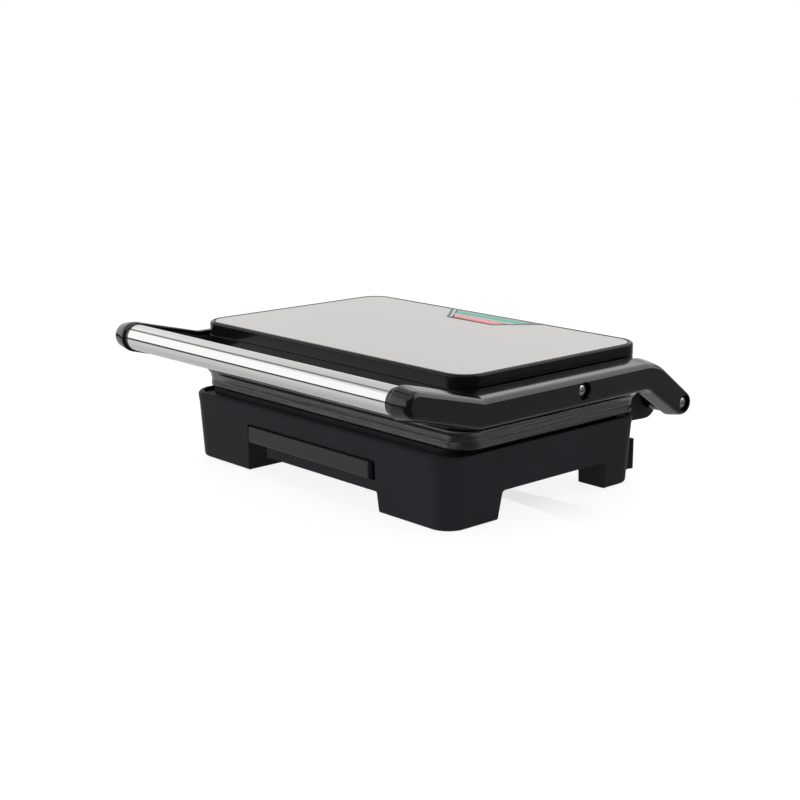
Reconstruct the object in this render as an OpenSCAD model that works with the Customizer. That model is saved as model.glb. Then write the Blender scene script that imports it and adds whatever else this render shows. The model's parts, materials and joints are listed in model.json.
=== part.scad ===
// Compact panini press: a footed base with a drip tray, two ribbed cast plates, and an upper
// casing that floats between two bent arms joined by a steel tube handle.
// X runs left to right, -Y is the front (handle side), +Z is up. All sizes are in millimetres.
// The parts are drawn about the middle of the plates, then moved so that the origin lies under
// the middle of the whole press.

/* [Plates] */
// Width of the grill plates, left to right
plate_w = 253; // [240:1:256]
// Depth of the grill plates, front to back
plate_d = 160; // [152:1:162]
// Corner radius of the plates and of the upper casing
plate_r = 15; // [10:1:20]
// Height of the line where the closed plates meet
seam_z = 52.7; // [52:0.1:54]
// Ribs on each plate
rib_count = 21; // [9:2:25]

/* [Base] */
// Width of the base at its rim
base_w = 254; // [250:1:256]
// Distance of the base rim's front from the middle of the plates
base_front = 92.5; // [90:0.5:96]
// Distance of the base rim's back from the middle of the plates
base_back = 83; // [82:0.5:84]
// Height of the base rim
base_h = 45.8; // [45:0.1:46.5]
// Inward slope of the base walls from rim to floor, on each side
base_draft = 3.4; // [2:0.1:5]
// Thickness of the moulded walls
wall = 2.5; // [2:0.1:3]
// Height of the arch between the front legs
front_arch_z = 13.8; // [12:0.1:15]
// Height of the arches at the sides and the back
side_arch_z = 18.7; // [17:0.1:19.5]
// Half width of the arch between the front legs
front_arch_x = 64; // [64:0.5:70]

/* [Drip tray] */
// Width of the tray's front panel
tray_panel_w = 118.8; // [110:0.1:124]
// Height of the tray's front panel
tray_panel_h = 10.6; // [9:0.1:11]
// How far the tray reaches back from its panel
tray_d = 116; // [90:1:120]

/* [Upper casing] */
// Height of the rim around the steel cover above the table
cover_z = 93; // [92:0.1:95]
// Height of the joint between the two casing shells
casing_split_z = 84; // [82:0.1:85]
// Black rim left showing around the steel cover
cover_rim = 2.4; // [1:0.1:3]
// Depth of the indicator notch, from the back edge
notch_d = 27.2; // [22:0.1:32]

/* [Arms and handle] */
// Gap between the middle of the press and the inner face of an arm
arm_x = 130; // [130:0.5:132]
// Thickness of an arm
arm_t = 14; // [13:0.5:15]
// Height of an arm along the side of the casing
arm_h = 21; // [21:0.5:24]
// Height of the middle of an arm along the side
arm_z = 74; // [72:0.5:74]
// Distance of the handle tube in front of the middle of the plates
tube_y = 131.5; // [125:0.5:135]
// Height of the handle tube's axis
tube_z = 87; // [84:0.5:88]
// Outside diameter of the handle tube
tube_dia = 17.2; // [16:0.1:18]
// Length of the bare steel tube
tube_len = 253; // [245:1:254]
// Distance of the rear pivots behind the middle of the plates
hinge_y = 104; // [103:0.5:105]
// Height of the rear pivots
hinge_z = 51.5; // [51:0.1:52]
// Distance of the casing pivots behind the middle of the plates
pivot_y = 5; // [0:0.5:8]
// Height of the casing pivots
pivot_z = 74.8; // [74:0.1:75]

/* [Hidden] */
$fn = 64;
hull_fn = 32;
eps = 0.05;

// Running and assembly gaps
gap = 0.3;
slip = 0.05;

// Base
base_r = 16;
base_d = base_front + base_back;
base_cy = (base_back - base_front) / 2;
foot_z = 0.8;
collar_w = base_w - 12;
collar_front = base_front - 6;
collar_back = base_back - 5;
collar_d = collar_front + collar_back;
collar_cy = (collar_back - collar_front) / 2;
collar_z = 48;
deck_t = 2.5;
channel = 1.6;
well_w = 220;
well_d = 136;
cover_t = 2;
cover_top = side_arch_z + cover_t;
front_leg_y = -46;
rear_leg_y = 50;
rear_leg_w = 22;
rear_arch_x = base_w / 2 - base_draft - rear_leg_w;

// Screws that hold the bottom cover, and the bosses over them
cover_screw_at = [[-116, -30], [116, -30], [-116, 36], [116, 36], [-84, 72], [84, 72]];
boss_r = 4.5;
screw_r = 1.6;

// Drip tray
tray_z = cover_top + 0.6;
tray_h = 10.2;
tray_w = 116;
tray_wall = 1.6;
tray_slot_w = tray_panel_w + 6.6;
tray_proud = 2.4;
front_wall_y = -base_front + base_draft * 0.5;
tray_front = front_wall_y - tray_proud;
panel_z = tray_z + 0.3;
finger_notch_w = 18;

// Plates and what heats them
seam_gap = 0.3;
lower_rim_z = 48.6;
upper_rim_top = 60;
flare = 3.8;
well_x = 218;
well_y = 134;
plate_floor = 3.2;
rib_pitch = 10;
rib_h = 2.4;
rib_base = 5;
rib_top = 2.6;
plate_screw_x = 112;
plate_screw_y = 70;
element_r = 3.3;
element_bend_r = 34;
element_run = 60;
drain_y = -60;
drain_r = 4;

// Upper casing
casing_w = plate_w + 0.6;
casing_d = plate_d + 1.4;
deck_z = 89;
cover_w = casing_w - 2 * cover_rim;
cover_d = casing_d - 2 * cover_rim;
cover_r = plate_r + 0.5 - cover_rim;
steel_z = cover_z - 0.2;
sheet = 0.8;
notch_back_x = 46;
notch_front_x = 21.5;
bezel_gap = 1.8;
lens_d = 8.6;
lens_green_y = cover_d / 2 - 6.1;
lens_red_y = cover_d / 2 - 20.1;

// Arms: nose at the handle, straight run along the casing, tail at the rear pivot
nose_r = 10;
tail_r = 9.5;
bend_front_y = -81;
bend_back_y = 72;
arm_path = [
    [-tube_y, tube_z, nose_r], [bend_front_y, arm_z, arm_h / 2],
    [bend_back_y, arm_z, arm_h / 2], [hinge_y, hinge_z, tail_r]
];
arm_cover_r = 7.8;
arm_cover_t = 1.8;
arm_cavity_r = 6.6;
arm_outer_wall = 3;
arm_screw_at = [[-98, 78.4], [-50, arm_z], [48, arm_z], [86, 64.2]];
head_r = 3.9;
head_h = 2.3;
counterbore_r = 5.6;
counterbore_x = arm_x + arm_t - 4.4;
shoulder_r = 3;
pivot_screw_r = 2;
lug_in = 99;
lug_out = 113;
lug_r = 11;
hinge_washer_t = 1.9;
hinge_boss_x = lug_out + hinge_washer_t + gap;

// Cord way
cord_x = -62;
cord_z = 30.2;
cord_r = 3.6;
cleat_x = 109;
cleat_mid_z = 13.5;
leg_pocket_back = 73.5;

// Middle of the whole press, so that the origin lies under it
front_edge = -tube_y - nose_r;
back_edge = hinge_y + lug_r;
shift_y = -(front_edge + back_edge) / 2;

black = "#1b1a1e";
gloss = "#101012";
grey_plate = "#46464a";
steel = "#c9c6c0";
bright = "#d9dadb";
brass = "#c5a256";
tin = "#a9adb0";

// ---------- shared shapes ----------

module in_place() {
    translate([0, shift_y, 0]) children();
}

module both_sides() {
    for (side = [0, 1]) mirror([side, 0, 0]) children();
}

// A round bar along X between two distances from the middle
module bar_x(x0, x1, y, z, r) {
    translate([x0, y, z]) rotate([0, 90, 0]) cylinder(h = x1 - x0, r = r);
}

module rounded_rect(w, d, r) {
    square([w - 2 * r, d], center = true);
    square([w, d - 2 * r], center = true);
    for (x = [-1, 1], y = [-1, 1])
        translate([x * (w / 2 - r), y * (d / 2 - r)]) circle(r);
}

module rounded_slab(w, d, r, z0, z1) {
    translate([0, 0, z0]) linear_extrude(z1 - z0) rounded_rect(w, d, r);
}

// A slab whose outline changes evenly from z0 to z1
module sloped_slab(w0, d0, w1, d1, r, z0, z1) {
    hull() {
        rounded_slab(w0, d0, r, z0, z0 + eps, $fn = hull_fn);
        rounded_slab(w1, d1, r, z1 - eps, z1, $fn = hull_fn);
    }
}

// Cross-recess screw, head up, its seat at z = 0
module screw(r, len, head_r, head_h) {
    difference() {
        union() {
            translate([0, 0, -len]) cylinder(h = len + eps, r = r);
            cylinder(h = head_h, r = head_r);
        }
        for (turn = [0, 90])
            rotate([0, 0, turn])
                translate([0, 0, head_h])
                    cube([head_r * 1.25, head_r * 0.24, head_h * 1.1], center = true);
    }
}

module at_each(points) {
    for (p = points) translate([p[0], p[1], 0]) children();
}

// A row of bars with sloping sides, along Y, standing on z = 0
module ribs(length) {
    profile = [
        [-rib_base / 2, 0], [rib_base / 2, 0], [rib_top / 2, rib_h], [-rib_top / 2, rib_h]
    ];
    for (i = [0 : rib_count - 1])
        translate([(i - (rib_count - 1) / 2) * rib_pitch, length / 2, 0])
            rotate([90, 0, 0]) linear_extrude(length) polygon(profile);
}

// U-shaped tubular heater lying in the plane z = 0, its terminals at the left
module heater_tube() {
    for (side = [-1, 1])
        bar_x(-element_run - 14, element_run, side * element_bend_r, 0, element_r);
    translate([element_run, 0, 0]) rotate([0, 0, -90])
        rotate_extrude(angle = 180) translate([element_bend_r, 0]) circle(element_r);
    for (side = [-1, 1])
        bar_x(-element_run - 22, -element_run - 14, side * element_bend_r, 0, 1.6);
}

// Steel straps across both runs of a heater, bent up over each run
module heater_straps() {
    strap_w = 12;
    for (x = [-50, 40])
        difference() {
            translate([x - strap_w / 2, -element_bend_r - 12, -element_r - 1])
                cube([strap_w, 2 * element_bend_r + 24, 1]);
            for (y = [-1, 1]) translate([x, y * (element_bend_r - 10), 0])
                cylinder(h = 20, r = screw_r + slip, center = true);
        }
}

module heater_strap_screws() {
    for (x = [-50, 40], y = [-1, 1])
        translate([x, y * (element_bend_r - 10), -element_r - 1])
            rotate([180, 0, 0]) screw(screw_r, element_r + 2.4, 2.8, 1.6);
}

// Boss under or over a plate for the strap screws, grown from z = 0 to z = height
module strap_bosses(height) {
    for (x = [-50, 40], y = [-1, 1])
        translate([x, y * (element_bend_r - 10), 0])
            difference() {
                cylinder(h = height, r = 4);
                translate([0, 0, -1]) cylinder(h = height + 2, r = screw_r + slip);
            }
}

// Shallow sheet pan, open upward, its flange at the top
module sheet_pan(w, d, z_floor, z_flange) {
    difference() {
        union() {
            rounded_slab(w, d, 8, z_floor, z_flange);
            rounded_slab(w + 8, d + 4, 8, z_flange - sheet, z_flange);
        }
        rounded_slab(w - 2 * sheet, d - 2 * sheet, 7, z_floor + sheet, z_flange + 1);
    }
}

// ---------- base ----------

module base_block(inset, z0, z1) {
    rim_share = z1 / base_h;
    low_share = z0 / base_h;
    top_in = inset + base_draft * (1 - rim_share);
    low_in = inset + base_draft * (1 - low_share);
    translate([0, base_cy, 0])
        sloped_slab(base_w - 2 * low_in, base_d - 2 * low_in,
                    base_w - 2 * top_in, base_d - 2 * top_in, base_r - inset, z0, z1);
}

module hinge_lug() {
    difference() {
        union() {
            bar_x(lug_in, lug_out, hinge_y, hinge_z, lug_r);
            bar_x(lug_in, lug_out, hinge_y, hinge_z - 4.5, lug_r);
            translate([lug_in, hinge_y - lug_r, hinge_z - 4.5])
                cube([lug_out - lug_in, 2 * lug_r, 4.5]);
            translate([lug_in, base_back - 1.5, hinge_z - 4.5 - lug_r])
                cube([lug_out - lug_in, hinge_y - base_back + 1.5, lug_r + 4.5]);
        }
        bar_x(lug_in + 2, lug_out + 1, hinge_y, hinge_z, 3.2);
    }
}

// Prism across the whole width that opens the side arches; the front legs lean a little
module side_arches() {
    outline = [
        [front_leg_y - 2, -1], [front_leg_y + 1.6, side_arch_z],
        [rear_leg_y, side_arch_z], [rear_leg_y + 0.6, -1]
    ];
    translate([-base_w, 0, 0]) rotate([90, 0, 90]) linear_extrude(2 * base_w) polygon(outline);
}

module arches() {
    side_arches();
    translate([-front_arch_x, -base_front - 5, -1])
        cube([2 * front_arch_x, base_front, front_arch_z + 1]);
    translate([-front_arch_x, front_wall_y + wall + 1.4, -1])
        cube([2 * front_arch_x, base_front, side_arch_z + 1]);
    translate([-rear_arch_x, rear_leg_y - 5, -1])
        cube([2 * rear_arch_x, base_back, side_arch_z + 1]);
}

module leg_pockets() {
    foot_floor = foot_z + 3;
    depth = side_arch_z - foot_floor + eps;
    both_sides() {
        translate([front_arch_x + wall, -base_front + base_draft + wall + 5, foot_floor])
            cube([base_w / 2 - base_draft - front_arch_x - 2 * wall - 6, 32, depth]);
        translate([rear_arch_x + wall, rear_leg_y + wall + 1, foot_floor])
            cube([rear_leg_w - 2 * wall - 3, leg_pocket_back - rear_leg_y - wall - 1, depth]);
    }
}

module cord_hole(r) {
    translate([cord_x, base_back - 20, cord_z]) rotate([-90, 0, 0]) cylinder(h = 40, r = r);
}

module base_casing() {
    color(black) in_place() {
        difference() {
            union() {
                difference() {
                    base_block(0, foot_z, base_h);
                    translate([0, base_cy, 0])
                        rounded_slab(base_w - 2 * wall, base_d - 2 * wall, base_r - wall,
                                     base_h - channel, base_h + 1);
                }
                translate([0, collar_cy, 0])
                    rounded_slab(collar_w, collar_d, base_r - 5, base_h - channel - 1, collar_z);
                both_sides() hinge_lug();
            }
            base_block(wall, side_arch_z, base_h - channel - deck_t);
            translate([0, collar_cy, 0])
                rounded_slab(collar_w - 2 * wall, collar_d - 2 * wall, base_r - 7,
                             base_h - channel - deck_t - 1, collar_z - deck_t);
            rounded_slab(well_w, well_d, 10, base_h - 10, collar_z + 1);
            arches();
            leg_pockets();
            // Way in for the drip tray, and the finger notch under its left end
            translate([-tray_slot_w / 2, -base_front - 5, cover_top])
                cube([tray_slot_w, 15, tray_h + 1.8]);
            translate([-tray_slot_w / 2, -base_front - 5, front_arch_z - 1])
                cube([finger_notch_w, 15, cover_top - front_arch_z + 2]);
            cord_hole(cord_r + 2.2);
            at_each([for (x = [-1, 1], y = [-1, 1]) [x * plate_screw_x, y * plate_screw_y]])
                translate([0, 0, base_h - 8]) cylinder(h = 12, r = 2.1);
            at_each(foot_at()) cylinder(h = foot_z + 1.2, r = 6.1);
            both_sides()
                for (z = [-4, 4])
                    translate([cleat_x, base_back - 10, cleat_mid_z + z]) rotate([-90, 0, 0])
                        cylinder(h = 20, r = screw_r + slip);
        }
        // Bosses for the bottom cover's screws
        at_each(cover_screw_at)
            difference() {
                translate([0, 0, cover_top])
                    cylinder(h = collar_z - deck_t - cover_top + 0.5, r = boss_r);
                translate([0, 0, cover_top - 1]) cylinder(h = 14, r = screw_r + slip);
            }
        // Ledges that the bottom cover is seated against, on the side walls
        both_sides()
            translate([base_w / 2 - base_draft - 6, -20, cover_top])
                cube([6, 40, 3]);
    }
}

function foot_at() = [
    for (x = [-1, 1]) each [[x * 106, -76], [x * 112.5, 66]]
];

module base_bottom_cover() {
    color(black) in_place() {
        difference() {
            intersection() {
                base_block(wall + 0.25, side_arch_z, cover_top);
                translate([-base_w / 2, -base_front + 7, 0]) cube([base_w, base_d, 60]);
            }
            at_each(cover_screw_at) cylinder(h = 60, r = screw_r + 0.2);
            for (x = [-1, 1])
                translate([cord_x + x * 10.5, 62, 0]) cylinder(h = 60, r = screw_r + slip);
            // Clear of the legs
            both_sides() {
                translate([front_arch_x - gap, -base_d, 0])
                    cube([base_w, base_d + front_leg_y + 1.6 + gap, 60]);
                translate([rear_arch_x - gap, rear_leg_y - gap, 0]) cube([base_w, base_d, 60]);
            }
            // Rows of vent slots under the heaters' wiring
            both_sides()
                for (i = [0 : 6])
                    translate([76, -24 + 8 * i, side_arch_z - 1]) cube([26, 3, cover_t + 2]);
        }
        // Runners that keep the drip tray straight
        both_sides()
            translate([tray_w / 2 + 0.5, -80, cover_top - eps]) cube([1.6, 108, 6]);
    }
}

module rubber_feet() {
    color("#2a2a2c") in_place()
        at_each(foot_at()) rotate_extrude()
            polygon([[0, 0], [5, 0], [6, foot_z], [6, foot_z + 1.2], [0, foot_z + 1.2]]);
}

module base_cover_screws() {
    color(tin) in_place()
        at_each(cover_screw_at)
            translate([0, 0, side_arch_z]) rotate([180, 0, 0]) screw(screw_r, 13, 3, 1.8);
}

module drip_tray() {
    panel_back = front_wall_y + 1.2;
    color(black) in_place() {
        difference() {
            union() {
                translate([-tray_w / 2, tray_front + 1, tray_z]) cube([tray_w, tray_d, tray_h]);
                translate([-tray_panel_w / 2, tray_front, panel_z])
                    cube([tray_panel_w, panel_back - tray_front, tray_panel_h]);
            }
            translate([-tray_w / 2 + tray_wall, panel_back, tray_z + tray_wall])
                cube([tray_w - 2 * tray_wall, tray_d - panel_back + tray_front + 1 - tray_wall, tray_h]);
        }
    }
}

// ---------- lower plate and what is under it ----------

module lower_grill_plate() {
    top = seam_z - seam_gap;
    floor_z = top - plate_floor;
    under = floor_z - 4;
    color(grey_plate) in_place() {
        difference() {
            union() {
                sloped_slab(plate_w + 1, plate_d + 1, plate_w, plate_d, plate_r, lower_rim_z, top);
                rounded_slab(well_w - 3, well_d - 3, 9, under, top - 1);
                at_each([for (x = [-1, 1], y = [-1, 1]) [x * plate_screw_x, y * plate_screw_y]])
                    translate([0, 0, collar_z]) cylinder(h = 2, r = 4.4);
                translate([0, 0, lower_heater_z - element_r]) strap_bosses(2 * element_r - 0.7);
                translate([0, drain_y, under - 7]) cylinder(h = 8, r = drain_r + 1.6);
            }
            rounded_slab(well_x, well_y, 8, floor_z, top + 1);
            // The heater is bedded a little into the underside
            translate([0, 0, under - element_r + 1.2]) heater_bed();
            translate([0, drain_y, under - 8]) cylinder(h = 30, r = drain_r);
            at_each([for (x = [-1, 1], y = [-1, 1]) [x * plate_screw_x, y * plate_screw_y]])
                translate([0, 0, collar_z - 1]) cylinder(h = 4.2, r = 1.75);
            for (x = [-50, 40], y = [-1, 1])
                translate([x, y * (element_bend_r - 10), lower_heater_z - element_r - 1])
                    cylinder(h = element_r + 3.6, r = screw_r + slip);
        }
        difference() {
            translate([0, 0, floor_z - eps]) ribs(well_y - 8);
            translate([0, drain_y, floor_z - 1]) cylinder(h = 8, r = drain_r + 3);
        }
    }
}

// The groove that a heater lies in, a shade wider than the heater
module heater_bed() {
    for (side = [-1, 1])
        bar_x(-element_run - 30, element_run, side * element_bend_r, 0, element_r + 2 * slip);
    translate([element_run, 0, 0]) rotate([0, 0, -90])
        rotate_extrude(angle = 180)
            translate([element_bend_r, 0]) circle(element_r + 2 * slip);
}

lower_under = seam_z - seam_gap - plate_floor - 4;
lower_heater_z = lower_under - element_r + 1.2;

module lower_plate_screws() {
    color(tin) in_place()
        at_each([for (x = [-1, 1], y = [-1, 1]) [x * plate_screw_x, y * plate_screw_y]])
            translate([0, 0, collar_z - deck_t]) rotate([180, 0, 0]) screw(1.7, 5.4, 3.2, 1.9);
}

module lower_heating_element() {
    color(tin) in_place() translate([0, 0, lower_heater_z]) heater_tube();
}

module lower_element_clamps() {
    color(steel) in_place() translate([0, 0, lower_heater_z]) heater_straps();
}

module lower_clamp_screws() {
    color(tin) in_place() translate([0, 0, lower_heater_z]) heater_strap_screws();
}

module lower_heat_shield() {
    color(bright) in_place()
        difference() {
            sheet_pan(210, 126, lower_under - 10.5, lower_under);
            translate([0, drain_y, lower_under - 15]) cylinder(h = 20, r = drain_r + 2.4);
            for (side = [-1, 1])
                translate([-110, side * element_bend_r - 4, lower_heater_z - 4]) cube([10, 8, 8]);
        }
}

module thermostat() {
    color("#d8d2c4") in_place() translate([-88, -20, lower_under - 10.5]) {
        translate([0, 0, -9]) cylinder(h = 9, r = 8);
        translate([-12, -3, -1.2]) cube([24, 6, 1.2]);
        for (x = [-1, 1]) translate([x * 4 - 1.5, -0.4, -12.5]) cube([3, 0.8, 3.6]);
    }
}

module thermal_fuse() {
    color(bright) in_place() translate([88, -22, lower_under - 12.5]) rotate([-90, 0, 0]) {
        cylinder(h = 12, r = 2);
        translate([0, 0, -9]) cylinder(h = 30, r = 0.6);
    }
}

module terminal_block() {
    block_w = 34;
    color("#e8e4da") in_place() translate([-104, 34, cover_top])
        difference() {
            cube([block_w, 15, 12]);
            for (i = [0 : 2])
                translate([6 + 11 * i, 7.5, 4]) cylinder(h = 12, r = 2.4);
            for (i = [0 : 2])
                translate([6 + 11 * i, -1, 4]) rotate([-90, 0, 0]) cylinder(h = 20, r = 1.6);
        }
}

rear_wall_y = base_back - base_draft * (1 - cord_z / base_h);

module cord_grommet() {
    color("#222224") in_place() translate([cord_x, 0, cord_z])
        translate([0, rear_wall_y - wall - 3, 0]) rotate([-90, 0, 0])
            rotate_extrude()
                polygon([
                    [cord_r, 0], [cord_r + 4, 0], [cord_r + 4, 2], [cord_r + 2.1, 2],
                    [cord_r + 2.1, wall + 3.8], [cord_r + 4, wall + 3.8],
                    [cord_r + 3, wall + 6.5], [cord_r, wall + 6.5]
                ]);
}

module cord_clamp() {
    color(black) in_place() translate([cord_x, 62, cover_top])
        difference() {
            translate([-15, -5, 0]) cube([30, 10, 8]);
            translate([0, -6, cord_z - cover_top]) rotate([-90, 0, 0]) cylinder(h = 12, r = cord_r);
            for (x = [-1, 1]) translate([x * 10.5, 0, -1]) cylinder(h = 12, r = screw_r + slip);
        }
}

module cord_clamp_screws() {
    color(tin) in_place()
        for (x = [-1, 1])
            translate([cord_x + x * 10.5, 62, cover_top + 8]) screw(screw_r, 9.6, 2.8, 1.6);
}

// Hooks on the back for winding the cord; each is a stem with a lip that points outward
module cord_cleats() {
    reach = 9.5;
    color(black) in_place()
        both_sides()
            difference() {
                union() {
                    translate([cleat_x - 5, base_back - 6, 4]) cube([8, reach + 6, 20.5]);
                    translate([cleat_x - 5, base_back + reach - 2.5, 4]) cube([10, 2.5, 20.5]);
                }
                base_block(0, 0.5, base_h - 1);
                for (z = [-4, 4])
                    translate([cleat_x, leg_pocket_back, cleat_mid_z + z]) rotate([-90, 0, 0])
                        cylinder(h = 12, r = screw_r + slip);
            }
}

module cord_cleat_screws() {
    color(tin) in_place()
        both_sides()
            for (z = [-4, 4])
                translate([cleat_x, leg_pocket_back, cleat_mid_z + z]) rotate([90, 0, 0])
                    screw(screw_r, 11.5, 2.8, 1.6);
}

// ---------- rear hinge ----------

module hinge_inserts() {
    color(brass) in_place() both_sides()
        difference() {
            bar_x(lug_in + 2, lug_out, hinge_y, hinge_z, 3.15);
            bar_x(lug_in, lug_out + 1, hinge_y, hinge_z, pivot_screw_r + slip);
        }
}

module hinge_washers() {
    color("#e9e9e4") in_place() both_sides()
        difference() {
            bar_x(lug_out, lug_out + hinge_washer_t, hinge_y, hinge_z, 7);
            bar_x(lug_out - 1, lug_out + 4, hinge_y, hinge_z, shoulder_r + slip);
        }
}

// Shoulder screw along X with its head outward; the shoulder starts at x0
module shoulder_screw(x0, thread_x, y, z) {
    difference() {
        union() {
            bar_x(thread_x, x0 + 1, y, z, pivot_screw_r);
            bar_x(x0, counterbore_x + gap + eps, y, z, shoulder_r);
            bar_x(counterbore_x + gap, counterbore_x + gap + head_h, y, z, head_r);
        }
        for (turn = [0, 90])
            translate([counterbore_x + gap + head_h, y, z]) rotate([turn, 0, 0])
                cube([head_h, head_r * 1.3, 0.9], center = true);
    }
}

module hinge_screws() {
    color(tin) in_place() both_sides() shoulder_screw(lug_out, lug_in + 3, hinge_y, hinge_z);
}

// ---------- arms and handle ----------

// Straight band of even width between two points of the side view
module band(a, b, r) {
    run = [b[0] - a[0], b[1] - a[1]];
    translate([a[0], a[1]]) rotate(atan2(run[1], run[0])) {
        translate([0, -r]) square([norm(run), 2 * r]);
        circle(r);
    }
    translate([b[0], b[1]]) circle(r);
}

module arm_chain(r) {
    for (i = [0 : len(arm_path) - 2]) band(arm_path[i], arm_path[i + 1], r);
}

// Stands a side-view drawing up as a plate between x0 and x1
module plate_x(x0, x1) {
    translate([x0, 0, 0]) rotate([90, 0, 90]) linear_extrude(x1 - x0) children();
}

// Disc with a softly rounded outer edge, the building block of an arm
module arm_disc(p) {
    r = p[2];
    for (ring = [[0, -1.2], [1.6, 0], [8, 0], [11.4, -1.5], [13.2, -3.6], [14, -6]])
        translate([arm_x + ring[0] * arm_t / 14 - (ring[0] > 0 ? eps : 0), p[0], p[1]])
            rotate([0, 90, 0]) cylinder(h = eps, r = r + ring[1], $fn = hull_fn);
}

module arm() {
    tail = arm_path[3];
    difference() {
        union() {
            for (i = [0 : len(arm_path) - 2])
                hull() {
                    arm_disc(arm_path[i]);
                    arm_disc(arm_path[i + 1]);
                }
            bar_x(hinge_boss_x, arm_x + 2, hinge_y, hinge_z, 8);
        }
        // Room for the inner cover, then the hollow behind it
        difference() {
            plate_x(arm_x - 1, arm_x + arm_cover_t) arm_chain(arm_cover_r);
            bar_x(arm_x - 2, arm_x + 4, hinge_y, hinge_z, 9);
            bar_x(arm_x - 2, arm_x + 4, -tube_y, tube_z, 8.2);
        }
        difference() {
            plate_x(arm_x - 1, arm_x + arm_t - arm_outer_wall) arm_chain(arm_cavity_r);
            bar_x(arm_x - 2, arm_x + arm_t, hinge_y, hinge_z, 9);
            bar_x(arm_x - 2, arm_x + arm_t, -tube_y, tube_z, 8.2);
            bar_x(arm_x + arm_cover_t, arm_x + arm_t, pivot_y, pivot_z, 7);
            for (p = arm_screw_at)
                bar_x(arm_x + arm_cover_t, arm_x + arm_t, p[0], p[1], 3.4);
        }
        for (p = [[hinge_y, hinge_z], [pivot_y, pivot_z]]) {
            bar_x(lug_in, arm_x + arm_t + 1, p[0], p[1], shoulder_r + slip);
            bar_x(counterbore_x, arm_x + arm_t + 1, p[0], p[1], counterbore_r);
        }
        bar_x(arm_x - 1, arm_x + 10, -tube_y, tube_z, 3.5 + slip);
        for (p = arm_screw_at)
            bar_x(arm_x - 1, arm_x + 8, p[0], p[1], 1.25 + slip);
    }
}

module arm_left() {
    color(gloss) in_place() mirror([1, 0, 0]) arm();
}

module arm_right() {
    color(gloss) in_place() arm();
}

module arm_cover() {
    difference() {
        plate_x(arm_x, arm_x + arm_cover_t - eps) arm_chain(arm_cover_r - 0.12);
        bar_x(arm_x - 2, arm_x + 4, hinge_y, hinge_z, 9.2);
        bar_x(arm_x - 2, arm_x + 4, -tube_y, tube_z, 8.4);
        bar_x(arm_x - 2, arm_x + 4, pivot_y, pivot_z, shoulder_r + 0.6);
        for (p = arm_screw_at) {
            bar_x(arm_x - 1, arm_x + 8, p[0], p[1], 1.25 + slip);
            bar_x(arm_x - 1, arm_x + 1, p[0], p[1], 2.4);
        }
    }
}

module arm_cover_left() {
    color(black) in_place() mirror([1, 0, 0]) arm_cover();
}

module arm_cover_right() {
    color(black) in_place() arm_cover();
}

module arm_cover_screws() {
    color(tin) in_place() both_sides()
        for (p = arm_screw_at)
            translate([arm_x + 1, p[0], p[1]]) rotate([0, -90, 0]) screw(1.25, 6, 2.2, 0.9);
}

module handle_tube() {
    color(bright) in_place()
        difference() {
            bar_x(-tube_len / 2, tube_len / 2, -tube_y, tube_z, tube_dia / 2);
            bar_x(-tube_len, tube_len, -tube_y, tube_z, tube_dia / 2 - sheet);
        }
}

module handle_rod() {
    reach = arm_x + 8;
    color(tin) in_place() bar_x(-reach, reach, -tube_y, tube_z, 2.5);
}

module handle_collar() {
    difference() {
        union() {
            bar_x(tube_len / 2, arm_x, -tube_y, tube_z, tube_dia / 2);
            bar_x(tube_len / 2 - 14, arm_x - 1, -tube_y, tube_z, tube_dia / 2 - sheet - slip);
        }
        bar_x(tube_len / 2 - 20, arm_x + 5, -tube_y, tube_z, 2.5 + slip);
    }
}

module handle_collar_left() {
    color(gloss) in_place() mirror([1, 0, 0]) handle_collar();
}

module handle_collar_right() {
    color(gloss) in_place() handle_collar();
}

module handle_inserts() {
    color(brass) in_place() both_sides()
        difference() {
            bar_x(arm_x, arm_x + 9, -tube_y, tube_z, 3.5);
            bar_x(arm_x - 1, arm_x + 10, -tube_y, tube_z, 2.5 + slip);
        }
}

// Insulated leads inside the left arm, from the rear hinge to the casing pivot
module lid_wiring() {
    lead_r = 1.2;
    lead_x = arm_x + 6;
    low_z = arm_z - 5.1;
    route = [[91.2, 54], [bend_back_y - 2.1, low_z], [pivot_y + 9, low_z]];
    color("#b9402f") in_place() mirror([1, 0, 0])
        for (i = [0 : len(route) - 2])
            plate_x(lead_x - lead_r, lead_x + lead_r) band(route[i], route[i + 1], lead_r);
}

// ---------- upper casing ----------

module casing_shell(z0, z1, w_wall) {
    difference() {
        rounded_slab(casing_w, casing_d, plate_r + 0.5, z0, z1);
        rounded_slab(casing_w - 2 * w_wall, casing_d - 2 * w_wall, plate_r - 1.5, z0 - 1, z1 + 1);
    }
}

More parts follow.
